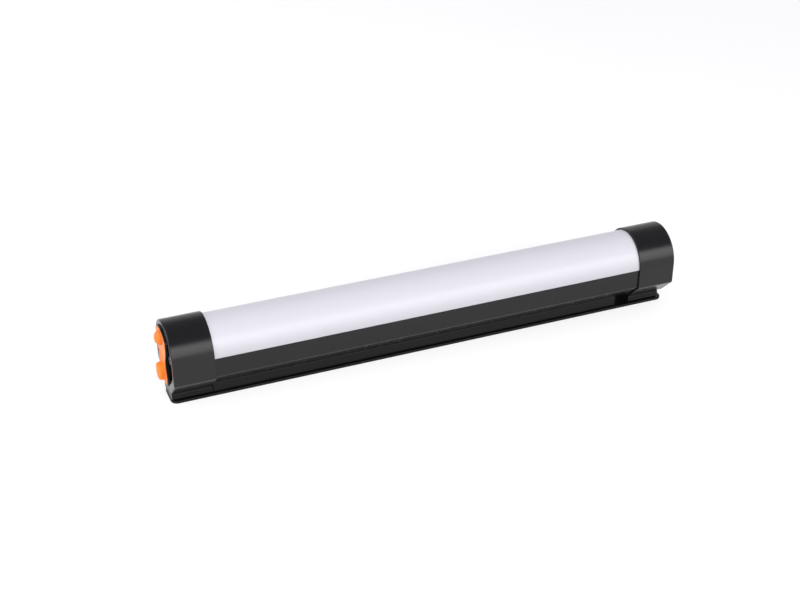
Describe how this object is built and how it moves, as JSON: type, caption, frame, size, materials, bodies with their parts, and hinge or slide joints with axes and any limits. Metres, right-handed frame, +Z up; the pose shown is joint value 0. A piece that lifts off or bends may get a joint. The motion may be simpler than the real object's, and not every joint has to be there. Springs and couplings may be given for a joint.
{
  "type": "led light tube",
  "caption": "Rechargeable LED light tube: opal half-round diffuser on a black channel with end caps, control end with button and port cover, low magnetic base rail.",
  "frame": {"origin": "centre of the base rail's flat underside, midway between the two end caps", "axes": "+X along the tube, away from the control end; +Y across the tube; +Z up through the crown of the diffuser"},
  "size_m": [0.3673, 0.0432, 0.0556],
  "materials": {
    "body_plastic": "satin moulded black",
    "cap_plastic": "semi-gloss moulded black",
    "base_plastic": "satin moulded black",
    "opal_diffuser": "satin opal white",
    "orange_plastic": "satin orange",
    "orange_rubber": "soft-touch orange",
    "seal_rubber": "matte black",
    "inner_plastic": "matte black",
    "fastener_steel": "blackened zinc",
    "socket_steel": "bright drawn",
    "magnet_nickel": "nickel plated",
    "circuit_board": "green solder mask",
    "white_board": "white solder mask",
    "carrier_aluminium": "mill finish",
    "cell_sleeve": "shrink sleeve",
    "wire_red": "silicone insulation",
    "wire_black": "silicone insulation"
  },
  "bodies": {
    "tube": {"body_channel": "body_plastic", "diffuser": "opal_diffuser", "left_end_cap": "cap_plastic", "right_end_cap": "cap_plastic", "left_gasket": "seal_rubber", "right_gasket": "seal_rubber", "left_bulkhead": "inner_plastic", "right_bulkhead": "inner_plastic", "left_cap_screw_1": "fastener_steel", "left_cap_screw_2": "fastener_steel", "right_cap_screw_1": "fastener_steel", "right_cap_screw_2": "fastener_steel", "end_bezel": "orange_plastic", "bezel_base": "cap_plastic", "charge_socket": "socket_steel", "power_switch": "inner_plastic", "control_board": "circuit_board", "end_blank": "cap_plastic", "base_rail": "base_plastic", "magnet_spine": "base_plastic", "left_riser": "base_plastic", "right_riser": "base_plastic", "magnet_1": "magnet_nickel", "magnet_2": "magnet_nickel", "magnet_3": "magnet_nickel", "magnet_4": "magnet_nickel", "rail_screw_1": "fastener_steel", "rail_screw_2": "fastener_steel", "rail_screw_3": "fastener_steel", "rail_screw_4": "fastener_steel", "led_carrier": "carrier_aluminium", "led_board": "white_board", "ir_receiver": "inner_plastic", "battery_tray": "inner_plastic", "battery_cell_1": "cell_sleeve", "battery_cell_2": "cell_sleeve", "battery_cell_3": "cell_sleeve", "cell_contact_1": "magnet_nickel", "cell_contact_2": "magnet_nickel", "driver_board": "circuit_board", "battery_lead_positive": "wire_red", "battery_lead_negative": "wire_black", "led_lead": "wire_red"},
    "button": {"power_button": "orange_plastic"},
    "cover": {"port_cover": "orange_rubber"}
  },
  "joints": [
    {"name": "button_press", "type": "slide", "parent": "tube", "child": "button", "axis": [1, 0, 0], "range_m": [0, 0.0008], "stiffness_N_per_m": 900, "springref_m": -0.0008},
    {"name": "cover_hinge", "type": "hinge", "parent": "tube", "child": "cover", "pos_m": [-0.1812, 0, 0.033], "axis": [0, 1, 0], "range_deg": [0, 100], "stiffness_Nm_per_rad": 0.002, "springref_deg": -22.92}
  ]
}
